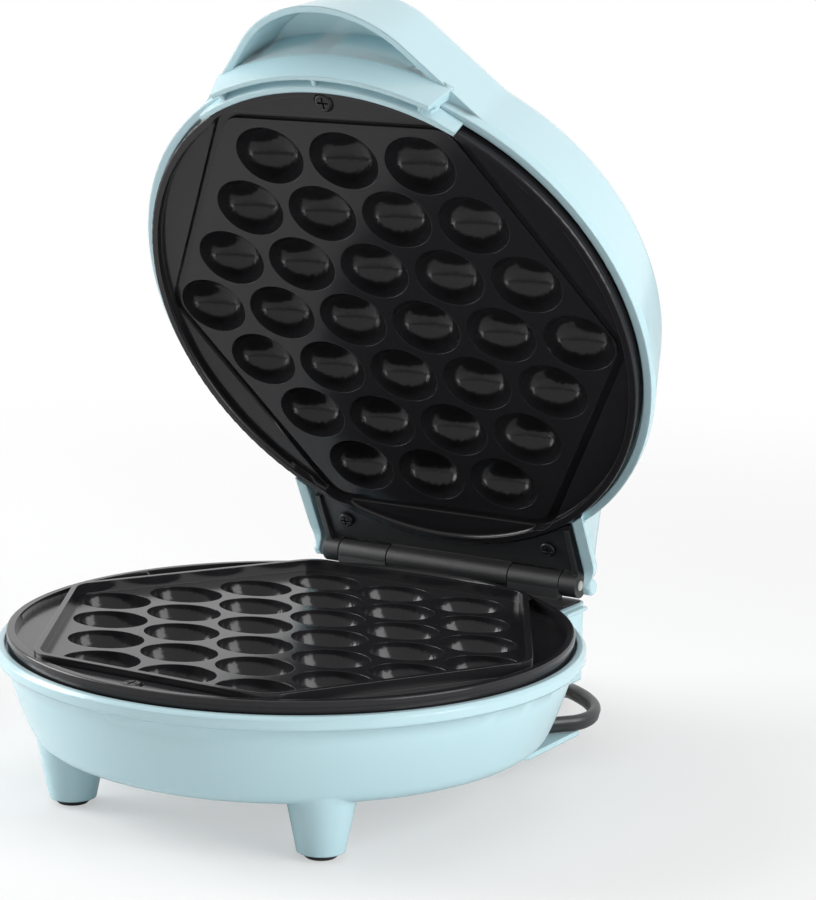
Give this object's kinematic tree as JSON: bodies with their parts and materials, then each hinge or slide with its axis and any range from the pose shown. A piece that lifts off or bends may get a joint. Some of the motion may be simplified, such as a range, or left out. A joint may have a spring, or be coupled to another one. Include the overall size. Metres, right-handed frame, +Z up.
{
  "type": "egg waffle pan",
  "caption": "Round electric egg-waffle iron, hinged lid with nose-shaped handle, egg-cell plates, footed bowl base and wound mains lead.",
  "frame": {"origin": "on the table, under the middle of the pan's footprint with the lid at its resting angle", "axes": "+Z up, hinge at the back (+Y), handle and front feet to the front (-Y), +X to the user's right"},
  "size_m": [0.2126, 0.285, 0.2854],
  "materials": {
    "aqua_plastic": "gloss",
    "non_stick": "satin non-stick coat",
    "black_steel": "textured matt",
    "screw_steel": "zinc plated",
    "element_steel": "satin",
    "shield_aluminium": "bright",
    "black_rubber": "matt",
    "black_plastic": "satin",
    "white_plastic": "matt",
    "wire_plastic": "glass sleeve",
    "red_lens": "clear gloss",
    "green_lens": "clear gloss",
    "lamp_glass": "clear",
    "brass": "bright"
  },
  "bodies": {
    "base": {"base_shell": "aqua_plastic", "foot_pads": "black_rubber", "lower_plate": "non_stick", "lower_heating_element": "element_steel", "lower_heat_shield": "shield_aluminium", "lower_shield_screws": "screw_steel", "lower_plate_screw": "black_steel", "base_thermostat": "element_steel", "thermal_fuse": "white_plastic", "terminal_block": "white_plastic", "base_hinge_bracket": "black_steel", "base_hinge_screws": "black_steel", "base_wires": "wire_plastic", "cord_strain_relief": "black_rubber", "power_cord": "black_rubber", "mains_plug": "black_plastic", "plug_blades": "brass"},
    "lid": {"lid_shell": "aqua_plastic", "finger_guard": "aqua_plastic", "upper_plate": "non_stick", "upper_heating_element": "element_steel", "upper_heat_shield": "shield_aluminium", "upper_shield_screws": "screw_steel", "upper_plate_screw": "black_steel", "lid_thermostat": "element_steel", "lid_hinge_bracket": "black_steel", "lid_hinge_screws": "black_steel", "hinge_pins": "screw_steel", "power_lens_red": "red_lens", "ready_lens_green": "green_lens", "neon_lamps": "lamp_glass", "lamp_holder": "white_plastic", "lid_wires": "wire_plastic"}
  },
  "joints": [
    {"name": "lid_hinge", "type": "hinge", "parent": "base", "child": "lid", "pos_m": [0, 0.0952, 0.06], "axis": [1, 0, 0], "range_deg": [-40, 62]}
  ]
}
